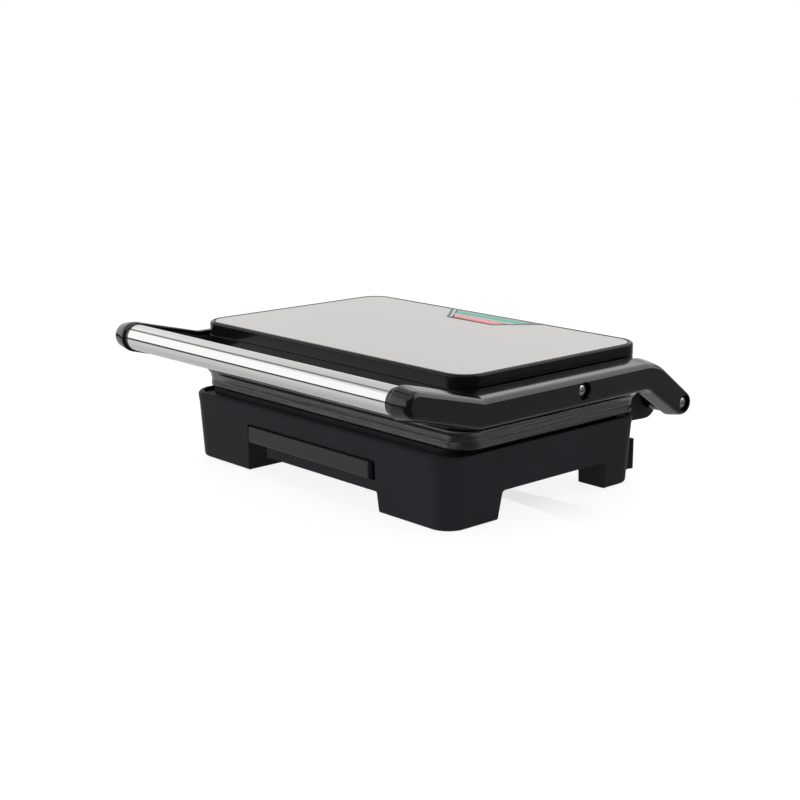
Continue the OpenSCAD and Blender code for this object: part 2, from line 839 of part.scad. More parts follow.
module upper_casing() {
    tab_z = upper_rim_top + 2.6;
    color(gloss) in_place() {
        difference() {
            union() {
                casing_shell(upper_rim_top, casing_split_z, 2.3);
                // Corner tabs that the grill plate hangs from
                intersection() {
                    rounded_slab(casing_w - 1, casing_d - 1, plate_r, upper_rim_top, tab_z);
                    for (x = [-1, 1], y = [-1, 1])
                        translate([x * plate_screw_x - 10, y * plate_screw_y - 8, upper_rim_top])
                            cube([20, 16, 2.6]);
                }
                // Posts for the top shell's screws
                at_each(casing_post_at())
                    translate([0, 0, upper_rim_top]) cylinder(h = casing_split_z - upper_rim_top, r = 4);
                both_sides() bar_x(casing_w / 2 - 17, casing_w / 2 - 1, pivot_y, pivot_z, 6.5);
                both_sides()
                    translate([casing_w / 2 - 17, pivot_y - 1.5, upper_rim_top])
                        cube([16, 3, pivot_z - upper_rim_top]);
            }
            both_sides() bar_x(casing_w / 2 - 18, casing_w / 2 + 1, pivot_y, pivot_z, 3.2);
            at_each(casing_post_at())
                translate([0, 0, upper_rim_top - 1]) cylinder(h = 40, r = screw_r + 0.2);
            at_each(casing_post_at())
                translate([0, 0, upper_rim_top - 1]) cylinder(h = 6, r = 3.1);
            at_each([for (x = [-1, 1], y = [-1, 1]) [x * plate_screw_x, y * plate_screw_y]])
                translate([0, 0, upper_rim_top - 1]) cylinder(h = 6, r = 2.1);
        }
    }
}

function casing_post_at() = [for (x = [-1, 1], y = [-1, 1]) [x * 96, y * 75.5]];

module trapezoid(inset) {
    back = casing_d / 2;
    polygon([
        [-notch_back_x + inset, back + 1], [-notch_front_x + inset * 0.6, cover_d / 2 - notch_d + inset],
        [notch_front_x - inset * 0.6, cover_d / 2 - notch_d + inset], [notch_back_x - inset, back + 1]
    ]);
}

module upper_casing_top() {
    color(gloss) in_place() {
        difference() {
            rounded_slab(casing_w, casing_d, plate_r + 0.5, casing_split_z, cover_z);
            rounded_slab(casing_w - 4.6, casing_d - 4.6, plate_r - 1.5, casing_split_z - 1, deck_z - 2);
            rounded_slab(cover_w + 0.2, cover_d + 0.2, cover_r + 0.1, deck_z, cover_z + 1);
            for (y = [lens_green_y, lens_red_y])
                translate([-16, y - 3, deck_z - 4]) cube([32, 6, 8]);
        }
        // Frame that fills the gap between the steel and the indicator bezel
        intersection() {
            translate([0, 0, deck_z - eps]) linear_extrude(steel_z - deck_z - 0.1)
                difference() {
                    trapezoid(0.2);
                    trapezoid(bezel_gap - 0.2);
                }
            rounded_slab(cover_w, cover_d, cover_r, deck_z - 1, cover_z);
        }
        at_each(casing_post_at())
            difference() {
                translate([0, 0, casing_split_z]) cylinder(h = deck_z - casing_split_z - 1, r = 4);
                translate([0, 0, casing_split_z - 1]) cylinder(h = 5, r = screw_r + slip);
            }
    }
}

module upper_casing_screws() {
    color(tin) in_place()
        at_each(casing_post_at())
            translate([0, 0, upper_rim_top + 5]) rotate([180, 0, 0]) screw(screw_r, 21.5, 2.9, 1.6);
}

module steel_cover() {
    color(steel) in_place()
        difference() {
            rounded_slab(cover_w, cover_d, cover_r, deck_z, steel_z);
            rounded_slab(cover_w - 2 * sheet, cover_d - 2 * sheet, cover_r - sheet,
                         deck_z - 1, steel_z - sheet);
            translate([0, 0, deck_z - 1]) linear_extrude(cover_z) trapezoid(0);
        }
}

// Bar with slanted ends that follow the notch's sides
module lens_shape(y, grow) {
    slope = (notch_back_x - notch_front_x) / (notch_d + (casing_d - cover_d) / 2 + 1);
    half = notch_front_x + slope * (y - cover_d / 2 + notch_d) - 6;
    run = slope * lens_d / 2;
    polygon([
        [-half + run - grow, y - lens_d / 2 - grow], [half - run + grow, y - lens_d / 2 - grow],
        [half + run + grow, y + lens_d / 2 + grow], [-half - run - grow, y + lens_d / 2 + grow]
    ]);
}

module indicator_bezel() {
    color(bright) in_place()
        difference() {
            intersection() {
                translate([0, 0, deck_z]) linear_extrude(cover_z - deck_z - 0.5) trapezoid(bezel_gap);
                rounded_slab(cover_w, cover_d, cover_r, deck_z, cover_z);
            }
            for (y = [lens_green_y, lens_red_y])
                translate([0, 0, deck_z - 1]) linear_extrude(10) lens_shape(y, slip);
        }
}

module lens(y) {
    translate([0, 0, deck_z]) linear_extrude(steel_z - deck_z - 0.1) lens_shape(y, 0);
}

module indicator_lens_green() {
    color("#3fae8c") in_place() lens(lens_green_y);
}

module indicator_lens_red() {
    color("#e07f80") in_place() lens(lens_red_y);
}

module indicator_lamps() {
    color("#ffb27a") in_place()
        for (y = [lens_green_y, lens_red_y])
            bar_x(-9, 9, y, deck_z - 3.1, 1.9);
}

module lamp_carrier() {
    low = deck_z - 6.6;
    color("#3c6e4a") in_place() {
        translate([-22, lens_red_y - 6, low]) cube([44, lens_green_y - lens_red_y + 10.5, 1.5]);
        for (y = [lens_green_y, lens_red_y], x = [-11, 9])
            translate([x, y - 2, low + 1.5 - eps]) cube([2, 4, 3.2]);
        for (x = [-21, 17])
            translate([x, lens_red_y + 4, low + 1.5 - eps]) cube([4, 4, 3.1 + eps]);
    }
}

// ---------- upper plate and what is above it ----------

upper_slab_z = seam_z + seam_gap + plate_floor;
upper_heater_z = upper_rim_top + element_r - 1.2;

module upper_grill_plate() {
    low = seam_z + seam_gap;
    color(grey_plate) in_place() {
        difference() {
            union() {
                sloped_slab(plate_w, plate_d, plate_w + 2 * flare - 1, plate_d + flare, plate_r,
                            low, upper_rim_top - 2.5);
                rounded_slab(plate_w + 2 * flare - 1, plate_d + flare, plate_r,
                             upper_rim_top - 2.5 - eps, upper_rim_top);
                translate([0, 0, upper_rim_top - 0.5]) strap_bosses(element_r - 1.2 + 0.5 + element_r);
            }
            rounded_slab(well_x, well_y, 8, low - 1, upper_slab_z);
            translate([0, 0, upper_heater_z]) heater_bed();
            at_each([for (x = [-1, 1], y = [-1, 1]) [x * plate_screw_x, y * plate_screw_y]])
                translate([0, 0, upper_rim_top - 4.6]) cylinder(h = 6, r = 1.75);
            for (x = [-50, 40], y = [-1, 1])
                translate([x, y * (element_bend_r - 10), upper_rim_top - 2])
                    cylinder(h = 20, r = screw_r + slip);
        }
        translate([0, 0, upper_slab_z + eps]) mirror([0, 0, 1]) ribs(well_y - 8);
    }
}

module upper_plate_screws() {
    color(tin) in_place()
        at_each([for (x = [-1, 1], y = [-1, 1]) [x * plate_screw_x, y * plate_screw_y]])
            translate([0, 0, upper_rim_top + 2.6]) screw(1.7, 6.4, 3.2, 1.9);
}

module upper_heating_element() {
    color(tin) in_place() translate([0, 0, upper_heater_z]) heater_tube();
}

module upper_element_clamps() {
    color(steel) in_place() translate([0, 0, upper_heater_z]) mirror([0, 0, 1]) heater_straps();
}

module upper_clamp_screws() {
    color(tin) in_place() translate([0, 0, upper_heater_z]) mirror([0, 0, 1]) heater_strap_screws();
}

module upper_heat_shield() {
    color(bright) in_place()
        difference() {
            translate([0, 0, upper_rim_top]) mirror([0, 0, 1]) sheet_pan(202, 122, -12, 0);
            for (side = [-1, 1])
                translate([-110, side * element_bend_r - 4, upper_rim_top - 1]) cube([12, 8, 8]);
        }
}

module lid_pivot_inserts() {
    color(brass) in_place() both_sides()
        difference() {
            bar_x(casing_w / 2 - 16, casing_w / 2, pivot_y, pivot_z, 3.15);
            bar_x(casing_w / 2 - 17, casing_w / 2 + 1, pivot_y, pivot_z, pivot_screw_r + slip);
        }
}

module lid_pivot_washers() {
    color("#e9e9e4") in_place() both_sides()
        difference() {
            bar_x(casing_w / 2, arm_x - gap, pivot_y, pivot_z, 6);
            bar_x(casing_w / 2 - 1, arm_x + 1, pivot_y, pivot_z, shoulder_r + slip);
        }
}

module lid_pivot_screws() {
    color(tin) in_place() both_sides()
        shoulder_screw(casing_w / 2, casing_w / 2 - 14, pivot_y, pivot_z);
}

base_casing();
base_bottom_cover();
rubber_feet();
base_cover_screws();
drip_tray();
lower_grill_plate();
lower_plate_screws();
lower_heating_element();
lower_element_clamps();
lower_clamp_screws();
lower_heat_shield();
thermostat();
thermal_fuse();
terminal_block();
cord_grommet();
cord_clamp();
cord_clamp_screws();
cord_cleats();
cord_cleat_screws();
hinge_inserts();
hinge_washers();
hinge_screws();
arm_left();
arm_right();
arm_cover_left();
arm_cover_right();
arm_cover_screws();
handle_tube();
handle_rod();
handle_collar_left();
handle_collar_right();
handle_inserts();
lid_wiring();
upper_casing();
upper_casing_top();
upper_casing_screws();
steel_cover();
indicator_bezel();
indicator_lens_green();
indicator_lens_red();
indicator_lamps();
lamp_carrier();
upper_grill_plate();
upper_plate_screws();
upper_heating_element();
upper_element_clamps();
upper_clamp_screws();
upper_heat_shield();
lid_pivot_inserts();
lid_pivot_washers();
lid_pivot_screws();
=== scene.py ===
import json
import math

import bmesh
import bpy
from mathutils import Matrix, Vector


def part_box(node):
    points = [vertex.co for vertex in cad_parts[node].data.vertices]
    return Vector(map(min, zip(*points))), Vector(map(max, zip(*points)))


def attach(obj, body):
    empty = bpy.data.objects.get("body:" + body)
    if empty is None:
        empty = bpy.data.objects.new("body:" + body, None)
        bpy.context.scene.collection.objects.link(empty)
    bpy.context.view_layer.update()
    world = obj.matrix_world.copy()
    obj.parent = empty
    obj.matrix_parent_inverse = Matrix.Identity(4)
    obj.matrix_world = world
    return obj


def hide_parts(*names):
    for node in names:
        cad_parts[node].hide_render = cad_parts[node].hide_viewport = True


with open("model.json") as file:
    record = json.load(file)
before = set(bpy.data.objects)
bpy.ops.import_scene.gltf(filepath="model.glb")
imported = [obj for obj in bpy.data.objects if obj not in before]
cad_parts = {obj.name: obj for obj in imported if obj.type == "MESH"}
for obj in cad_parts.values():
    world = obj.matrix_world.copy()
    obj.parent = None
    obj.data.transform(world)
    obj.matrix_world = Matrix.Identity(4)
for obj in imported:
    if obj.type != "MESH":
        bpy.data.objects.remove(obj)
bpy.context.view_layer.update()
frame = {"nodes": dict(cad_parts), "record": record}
MM = 0.001

# Sizes below are in mm. y is measured from the middle of the plates, SHIFT behind the frame's origin
TUBE_Y, TUBE_Z, TUBE_R, TUBE_END = -131.5, 87.0, 8.6, 126.5
tube_low, tube_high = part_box("handle_tube")
SHIFT = (tube_low[1] + tube_high[1]) / 2 / MM - TUBE_Y
HINGE_Y, HINGE_Z = 104.0, 51.5
PIVOT_Y, PIVOT_Z = 5.0, 74.8
ARM_X = 130.0
FOOT_Z = 0.8
CORNER_STEPS = 14


# ---------- mesh helpers ----------


def new_object(name, verts, faces):
    """A mesh object from points in mm, with its normals outward."""
    mesh = bpy.data.meshes.new(name)
    mesh.from_pydata([(x * MM, (y + SHIFT) * MM, z * MM) for x, y, z in verts], [], faces)
    bm = bmesh.new()
    bm.from_mesh(mesh)
    bmesh.ops.remove_doubles(bm, verts=bm.verts, dist=1e-7)
    bmesh.ops.recalc_face_normals(bm, faces=bm.faces)
    bm.to_mesh(mesh)
    bm.free()
    obj = bpy.data.objects.new(name, mesh)
    bpy.context.scene.collection.objects.link(obj)
    return obj


def outline(half_w, front, back, r, z):
    """Rounded rectangle at height z, with the same number of points for every size."""
    points = []
    corners = (
        (half_w - r, back - r, 0),
        (r - half_w, back - r, 90),
        (r - half_w, front + r, 180),
        (half_w - r, front + r, 270),
    )
    for cx, cy, start in corners:
        for i in range(CORNER_STEPS + 1):
            a = math.radians(start + 90 * i / CORNER_STEPS)
            points.append((cx + r * math.cos(a), cy + r * math.sin(a), z))
    return points


def loft(name, rings, closed=False):
    """Skin over rings of equal length: capped at both ends, or closed into a loop."""
    n = len(rings[0])
    verts = [p for ring in rings for p in ring]
    faces = []
    for i in range(len(rings) if closed else len(rings) - 1):
        j = (i + 1) % len(rings)
        for k in range(n):
            k2 = (k + 1) % n
            faces.append((i * n + k, i * n + k2, j * n + k2, j * n + k))
    if not closed:
        faces.append(tuple(range(n)))
        faces.append(tuple((len(rings) - 1) * n + k for k in range(n)))
    return new_object(name, verts, faces)


def prism(name, profile, axis, low, high):
    """A closed outline of (y, z), (x, z) or (x, y) pushed along x, y or z."""
    place = {
        "x": lambda p, t: (t, p[0], p[1]),
        "y": lambda p, t: (p[0], t, p[1]),
        "z": lambda p, t: (p[0], p[1], t),
    }[axis]
    return loft(name, [[place(p, low) for p in profile], [place(p, high) for p in profile]])


def block(name, low, high):
    """A box, only ever used as a cutter."""
    (x0, y0, z0), (x1, y1, z1) = low, high
    return prism(name, [(x0, y0), (x1, y0), (x1, y1), (x0, y1)], "z", z0, z1)


def lathe_x(name, profile, y, z, steps=64):
    """Turns (x, radius) pairs about an axis along X."""
    rings = []
    for x, r in profile:
        turn = [2 * math.pi * i / steps for i in range(steps)]
        rings.append([(x, y + r * math.cos(a), z + r * math.sin(a)) for a in turn])
    return loft(name, rings)


def lathe_z(name, profile, x, y):
    """Turns (z, radius) pairs about an upright axis."""
    rings = []
    for z, r in profile:
        turn = [2 * math.pi * i / 48 for i in range(48)]
        rings.append([(x + r * math.cos(a), y + r * math.sin(a), z) for a in turn])
    return loft(name, rings)


def bake_modifiers(obj):
    """Replaces the mesh by what its modifiers make of it."""
    bpy.context.view_layer.update()
    graph = bpy.context.evaluated_depsgraph_get()
    mesh = bpy.data.meshes.new_from_object(obj.evaluated_get(graph))
    old = obj.data
    obj.modifiers.clear()
    obj.data = mesh
    mesh.name = obj.name
    bpy.data.meshes.remove(old)


def cut(obj, *others):
    """Takes the others away from obj, then merges the slivers that this leaves."""
    for other in others:
        mod = obj.modifiers.new("cut", "BOOLEAN")
        mod.operation = "DIFFERENCE"
        mod.solver = "EXACT"
        mod.object = other
        bake_modifiers(obj)
        bpy.data.objects.remove(other)
    bm = bmesh.new()
    bm.from_mesh(obj.data)
    bmesh.ops.remove_doubles(bm, verts=bm.verts, dist=2e-6)
    bmesh.ops.dissolve_degenerate(bm, edges=bm.edges, dist=2e-6)
    bm.to_mesh(obj.data)
    bm.free()


def gather(obj, *others):
    """Puts the meshes of others into obj as they are."""
    bm = bmesh.new()
    bm.from_mesh(obj.data)
    for other in others:
        bm.from_mesh(other.data)
        bpy.data.objects.remove(other)
    bm.to_mesh(obj.data)
    bm.free()


def soften(obj, width, segments=3, angle=38):
    """Rounds every edge sharper than the angle."""
    mod = obj.modifiers.new("edges", "BEVEL")
    mod.width = width * MM
    mod.segments = segments
    mod.limit_method = "ANGLE"
    mod.angle_limit = math.radians(angle)
    mod.use_clamp_overlap = True
    bake_modifiers(obj)


def smooth(obj, angle=42):
    """Shades smooth over every edge flatter than the angle."""
    obj.data.shade_smooth()
    obj.data.set_sharp_from_angle(angle=math.radians(angle))
    mod = obj.modifiers.new("normals", "WEIGHTED_NORMAL")
    mod.keep_sharp = True
    bake_modifiers(obj)


def mirrored(obj, name):
    """A left-hand copy of a right-hand piece."""
    copy = obj.copy()
    copy.data = obj.data.copy()
    copy.name = name
    copy.data.name = name
    bpy.context.scene.collection.objects.link(copy)
    bm = bmesh.new()
    bm.from_mesh(copy.data)
    for v in bm.verts:
        v.co.x = -v.co.x
    bmesh.ops.reverse_faces(bm, faces=bm.faces)
    bm.to_mesh(copy.data)
    bm.free()
    return copy


def arc(cx, cy, r, start, end, steps):
    """Points round a centre, from the start to the end angle in degrees."""
    turn = [math.radians(start + (end - start) * i / steps) for i in range(steps + 1)]
    return [(cx + r * math.cos(a), cy + r * math.sin(a)) for a in turn]


# ---------- materials ----------


class Paint:
    """A procedural material under construction."""

    def __init__(self, name, **sockets):
        self.material = bpy.data.materials.new(name)
        self.material.use_nodes = True
        self.tree = self.material.node_tree
        self.shader = self.tree.nodes["Principled BSDF"]
        for socket, value in sockets.items():
            self.shader.inputs[socket.replace("_", " ")].default_value = value

    def coords(self, scale):
        """Object coordinates times a scale for each axis, per metre."""
        source = self.tree.nodes.new("ShaderNodeTexCoord")
        mapping = self.tree.nodes.new("ShaderNodeMapping")
        mapping.inputs["Scale"].default_value = scale
        self.tree.links.new(source.outputs["Object"], mapping.inputs["Vector"])
        return mapping.outputs["Vector"]

    def noise(self, scale, detail=3.0, roughness=0.55):
        """Fine noise has a large scale; streaks run along the axes whose scale is small."""
        node = self.tree.nodes.new("ShaderNodeTexNoise")
        node.inputs["Scale"].default_value = 1.0
        node.inputs["Detail"].default_value = detail
        node.inputs["Roughness"].default_value = roughness
        self.tree.links.new(self.coords(scale), node.inputs["Vector"])
        return node.outputs["Fac"]

    def spread(self, value, low, high, into):
        """Feeds the middle half of a noise into a shader input, as low to high."""
        node = self.tree.nodes.new("ShaderNodeMapRange")
        node.inputs["From Min"].default_value = 0.25
        node.inputs["From Max"].default_value = 0.75
        node.inputs["To Min"].default_value = low
        node.inputs["To Max"].default_value = high
        self.tree.links.new(value, node.inputs["Value"])
        self.tree.links.new(node.outputs["Result"], self.shader.inputs[into])

    def colour(self, value, dark, light):
        """Base colour between two tones, driven by a noise."""
        node = self.tree.nodes.new("ShaderNodeValToRGB")
        node.color_ramp.elements[0].position = 0.3
        node.color_ramp.elements[1].position = 0.7
        node.color_ramp.elements[0].color = (*dark, 1)
        node.color_ramp.elements[1].color = (*light, 1)
        self.tree.links.new(value, node.inputs["Fac"])
        self.tree.links.new(node.outputs["Color"], self.shader.inputs["Base Color"])

    def bump(self, *layers):
        """Each layer is (height value, strength, distance in mm)."""
        last = None
        for value, strength, distance in layers:
            node = self.tree.nodes.new("ShaderNodeBump")
            node.inputs["Strength"].default_value = strength
            node.inputs["Distance"].default_value = distance * MM
            self.tree.links.new(value, node.inputs["Height"])
            if last:
                self.tree.links.new(last, node.inputs["Normal"])
            last = node.outputs["Normal"]
        self.tree.links.new(last, self.shader.inputs["Normal"])


def moulded(name, dark, light, rough, shine):
    """Black plastic with a fine moulded grain."""
    paint = Paint(name, Specular_IOR_Level=shine)
    patches = paint.noise((26, 26, 26), 4)
    fine = paint.noise((2600, 2600, 2600), 2)
    paint.colour(patches, dark, light)
    paint.spread(patches, rough - 0.04, rough + 0.05, "Roughness")
    paint.bump((fine, 0.35, 0.03), (patches, 0.12, 0.25))
    return paint.material


def glossy(name, dark, light, rough, shine):
    """Smooth black plastic with a little dust in its shine."""
    paint = Paint(name, Specular_IOR_Level=shine)
    patches = paint.noise((38, 38, 38), 2)
    dust = paint.noise((900, 900, 900), 4, 0.7)
    paint.colour(patches, dark, light)
    paint.spread(dust, rough - 0.02, rough + 0.05, "Roughness")
    return paint.material


def brushed(name, dark, light, rough, streaks, strength=0.25, metallic=1.0, spread=0.08):
    """Metal with fine streaks, and a faint wide waviness under them."""
    paint = Paint(name, Metallic=metallic)
    lines = paint.noise(streaks, 5, 0.65)
    wide = paint.noise((7, 9, 9), 3)
    paint.colour(lines, dark, light)
    paint.spread(lines, rough - spread, rough + spread, "Roughness")
    paint.bump((lines, strength, 0.02), (wide, 0.05, 0.3))
    return paint.material


def speckled(name, dark, light, rough, scale, metallic=0.0, **sockets):
    """Even small grain, for screws, sheet, rubber, lenses and the pieces inside."""
    paint = Paint(name, Metallic=metallic, **sockets)
    grain = paint.noise((scale, scale, scale), 4, 0.6)
    paint.colour(grain, dark, light)
    paint.spread(grain, rough - 0.05, rough + 0.06, "Roughness")
    paint.bump((grain, 0.2, 0.04))
    return paint.material


MATT_TONES = (0.0175, 0.0158, 0.0190), (0.0215, 0.0195, 0.0235)
PAINTS = {
    "moulded_black": moulded("moulded_black", *MATT_TONES, 0.38, 0.03),
    "gloss_black": glossy(
        "gloss_black", (0.0032, 0.0030, 0.0038), (0.0048, 0.0045, 0.0055), 0.08, 0.45
    ),
    "cast_plate": brushed(
        "cast_plate", (0.060, 0.059, 0.063), (0.185, 0.182, 0.190), 0.24, (26, 26, 1900),
        metallic=0.88,
    ),
    "brushed_cover": brushed(
        "brushed_cover", (0.49, 0.475, 0.455), (0.55, 0.535, 0.515), 0.21, (9, 1500, 1500),
        strength=0.10, spread=0.05,
    ),
    "polished_tube": brushed(
        "polished_tube", (0.57, 0.56, 0.55), (0.63, 0.62, 0.61), 0.10, (6, 1300, 1300),
        strength=0.06, spread=0.03,
    ),
    "zinc_screws": speckled("zinc_screws", (0.50, 0.50, 0.51), (0.66, 0.66, 0.66), 0.28, 500, 1.0),
    "heater_sheath": speckled("heater_sheath", (0.20, 0.20, 0.18), (0.34, 0.33, 0.29), 0.5, 320, 1.0),
    "sheet_metal": speckled("sheet_metal", (0.52, 0.52, 0.53), (0.66, 0.66, 0.67), 0.33, 260, 1.0),
    "brass_inserts": speckled("brass_inserts", (0.46, 0.33, 0.12), (0.62, 0.46, 0.19), 0.3, 420, 1.0),
    "rubber_black": speckled("rubber_black", (0.014, 0.014, 0.014), (0.024, 0.024, 0.025), 0.72, 1400),
    "white_plastic": speckled("white_plastic", (0.62, 0.61, 0.57), (0.72, 0.71, 0.67), 0.42, 900),
    "bezel_grey": speckled("bezel_grey", (0.34, 0.35, 0.355), (0.38, 0.39, 0.40), 0.36, 1600),
    "lens_green": speckled("lens_green", (0.030, 0.25, 0.165), (0.045, 0.32, 0.215), 0.22, 300),
    "lens_red": speckled("lens_red", (0.60, 0.125, 0.14), (0.70, 0.17, 0.185), 0.22, 300),
    "lamp_glass": speckled(
        "lamp_glass", (0.85, 0.60, 0.42), (0.95, 0.72, 0.52), 0.12, 120, Transmission_Weight=0.7
    ),
    "board_green": speckled("board_green", (0.03, 0.12, 0.06), (0.05, 0.18, 0.09), 0.45, 600),
    "lead_red": speckled("lead_red", (0.36, 0.04, 0.025), (0.46, 0.06, 0.04), 0.55, 900),
}
# The casing reflects less than the arms, and the tray more than the base, within the same slots
CASING_PAINT = glossy(
    "casing_black", (0.0040, 0.0038, 0.0048), (0.0056, 0.0053, 0.0064), 0.10, 0.18
)
TRAY_PAINT = moulded("tray_black", *MATT_TONES, 0.30, 0.2)
for sub in frame["record"]["subparts"]:
    node = frame["nodes"][sub["node"]]
    node.data.materials.clear()
    node.data.materials.append(PAINTS[sub["material_slot"]])


def finish_piece(obj, body, slot, *nodes, paint=None):
    """Paints a piece, hangs it under the empty of the body that carries it, and hides the CAD nodes it
    stands for.
    """
    obj.data.materials.clear()
    obj.data.materials.append(paint or PAINTS[slot])
    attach(obj, body)
    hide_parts(*nodes)


# ---------- camera, floor and lights ----------

FLOOR_R, BACKDROP_R = 7000, 6500
target = Vector((3.0, -15.25 + SHIFT, 48.4)) * MM
eye = Vector((725.3, -680.3 + SHIFT, 276.8)) * MM
camera_data = bpy.data.cameras.new("camera")
camera_data.lens = 68.96
camera_data.sensor_width = 36
camera_data.clip_end = 30
camera = bpy.data.objects.new("camera", camera_data)
camera.location = eye
camera.rotation_euler = (target - eye).to_track_quat("-Z", "Y").to_euler()
bpy.context.scene.collection.objects.link(camera)
bpy.context.scene.camera = camera

floor_paint = Paint("pale_floor", Roughness=0.6, Emission_Color=(1, 1, 1, 1), Emission_Strength=0.62)
floor_paint.colour(floor_paint.noise((3, 3, 3), 2), (0.46, 0.46, 0.46), (0.48, 0.48, 0.48))
backdrop_paint = Paint(
    "pale_backdrop", Base_Color=(0, 0, 0, 1), Specular_IOR_Level=0.0,
    Emission_Color=(1, 1, 1, 1), Emission_Strength=1.0,
)


def round_turn(radius, z):
    turn = [2 * math.pi * i / 64 for i in range(64)]
    return [(radius * math.cos(a), radius * math.sin(a), z) for a in turn]


def dome_ring(elevation):
    e = math.radians(elevation)
    return round_turn(BACKDROP_R * math.cos(e), BACKDROP_R * math.sin(e))


floor = loft("floor", [round_turn(FLOOR_R, 0), round_turn(FLOOR_R, -1)])
backdrop = loft("backdrop", [dome_ring(e) for e in range(0, 89, 8)])
for stage, paint in ((floor, floor_paint), (backdrop, backdrop_paint)):
    stage.data.materials.append(paint.material)
    stage.visible_glossy = False
backdrop.visible_diffuse = False
backdrop.visible_shadow = False
backdrop.visible_transmission = False

world = bpy.data.worlds.new("studio")
world.use_nodes = True
bpy.context.scene.world = world
bpy.context.scene.view_settings.view_transform = "Standard"


def sky(kind, *inputs, **settings):
    """Adds a node to the studio's light field and returns its first output."""
    node = world.node_tree.nodes.new(kind)
    for key, value in settings.items():
        setattr(node, key, value)
    for i, value in enumerate(inputs):
        if isinstance(value, bpy.types.NodeSocket):
            world.node_tree.links.new(value, node.inputs[i])
        else:
            node.inputs[i].default_value = value
    return node.outputs["Value"] if "Value" in node.outputs else node.outputs[0]


def blend(t, low, high):
    """low where t is 0, high where t is 1; low and high may be sockets."""
    gap = sky("ShaderNodeMath", high, low, operation="SUBTRACT")
    return sky("ShaderNodeMath", t, gap, low, operation="MULTIPLY_ADD")


def rise(value, start, end):
    """0 to 1 as value goes from start to end; start may be the larger of the two."""
    return sky("ShaderNodeMapRange", value, start, end, 0.0, 1.0, interpolation_type="SMOOTHSTEP")


def times(a, *others):
    for b in others:
        a = sky("ShaderNodeMath", a, b, operation="MULTIPLY")
    return a


def toward(x, y):
    """How far the ray looks along (x, y), from -1 to 1."""
    return sky("ShaderNodeVectorMath", facing, (x, y, 0.0), operation="DOT_PRODUCT")


# What the press reflects. Low down the room is pale on the left and dark on the right, with a brighter
# box at the front left, a dark gap beside that, and bright boxes behind and at the right. The ground is
# pale at the front left and dark towards the camera. Each value below is a brightness
HEADING_X, HEADING_Y = 0.735, -0.678
facing = world.node_tree.nodes.new("ShaderNodeTexCoord").outputs["Generated"]
split = world.node_tree.nodes.new("ShaderNodeSeparateXYZ")
world.node_tree.links.new(facing, split.inputs[0])
height = split.outputs["Z"]
left_side = rise(toward(-1, 0), -0.15, 0.25)
front_left = rise(toward(-HEADING_X, HEADING_Y), 0.1, 0.8)
to_camera = rise(toward(HEADING_X, HEADING_Y), 0.08, 0.45)
back_sky = blend(rise(height, 0.24, 0.42), 0.94, 0.84)
low_sky = blend(left_side, 0.08, back_sky)
low_sky = blend(front_left, low_sky, blend(rise(height, 0.50, 0.66), 1.60, 1.0))
high_sky = blend(rise(height, 0.60, 0.70), low_sky, 0.90)
front_side = toward(0, -1)
gap_beside = times(rise(front_side, 0.02, 0.10), rise(front_side, 0.24, 0.16))
high_sky = blend(times(gap_beside, rise(height, 0.40, 0.52), left_side), high_sky, 0.22)
near_ground = blend(rise(height, -0.25, -0.75), 0.95, 0.66)
ground = blend(left_side, 0.30, blend(front_left, 0.62, near_ground))
ground = blend(to_camera, ground, 0.06)
right_side, back_side = toward(1, 0), toward(0, 1)
back_box = times(
    rise(right_side, -0.68, -0.58), rise(back_side, 0.36, 0.48),
    rise(height, 0.34, 0.44), rise(height, 0.80, 0.72),
)
right_box = times(
    rise(right_side, 0.10, 0.35), rise(back_side, 0.30, 0.45), rise(height, 0.06, 0.16)
)
high_sky = blend(back_box, high_sky, 1.9)
high_sky = blend(right_box, high_sky, 2.2)
whole = blend(rise(height, -0.03, 0.0), ground, high_sky)
seam_line = times(rise(height, -0.18, -0.12), rise(height, 0.0, -0.03))
whole = blend(times(seam_line, front_left), whole, 0.03)
world.node_tree.links.new(whole, world.node_tree.nodes["Background"].inputs["Color"])


def soft_light(name, place, aim, size, power):
    """A rectangle of light that doesn't show in reflections; metres and watts."""
    data = bpy.data.lights.new(name, "AREA")
    data.shape = "RECTANGLE"
    data.size, data.size_y = size
    data.energy = power
    light = bpy.data.objects.new(name, data)
    light.location = Vector(place)
    light.rotation_euler = (Vector(aim) - Vector(place)).to_track_quat("-Z", "Y").to_euler()
    light.visible_glossy = False
    bpy.context.scene.collection.objects.link(light)


soft_light("top", (0.0, 0.25, 1.5), (0, 0, 0), (1.6, 1.2), 7)
soft_light("left", (-1.3, -0.9, 0.9), (0, 0, 0.05), (0.9, 1.1), 1.5)


# ---------- base ----------


def base_ring(z, inset, lean):
    """Outline of the shell at a height; the lean draws only its front back."""
    return outline(127 - inset, -92.5 + inset + lean, 83 - inset, 16 - inset * 0.7, z)


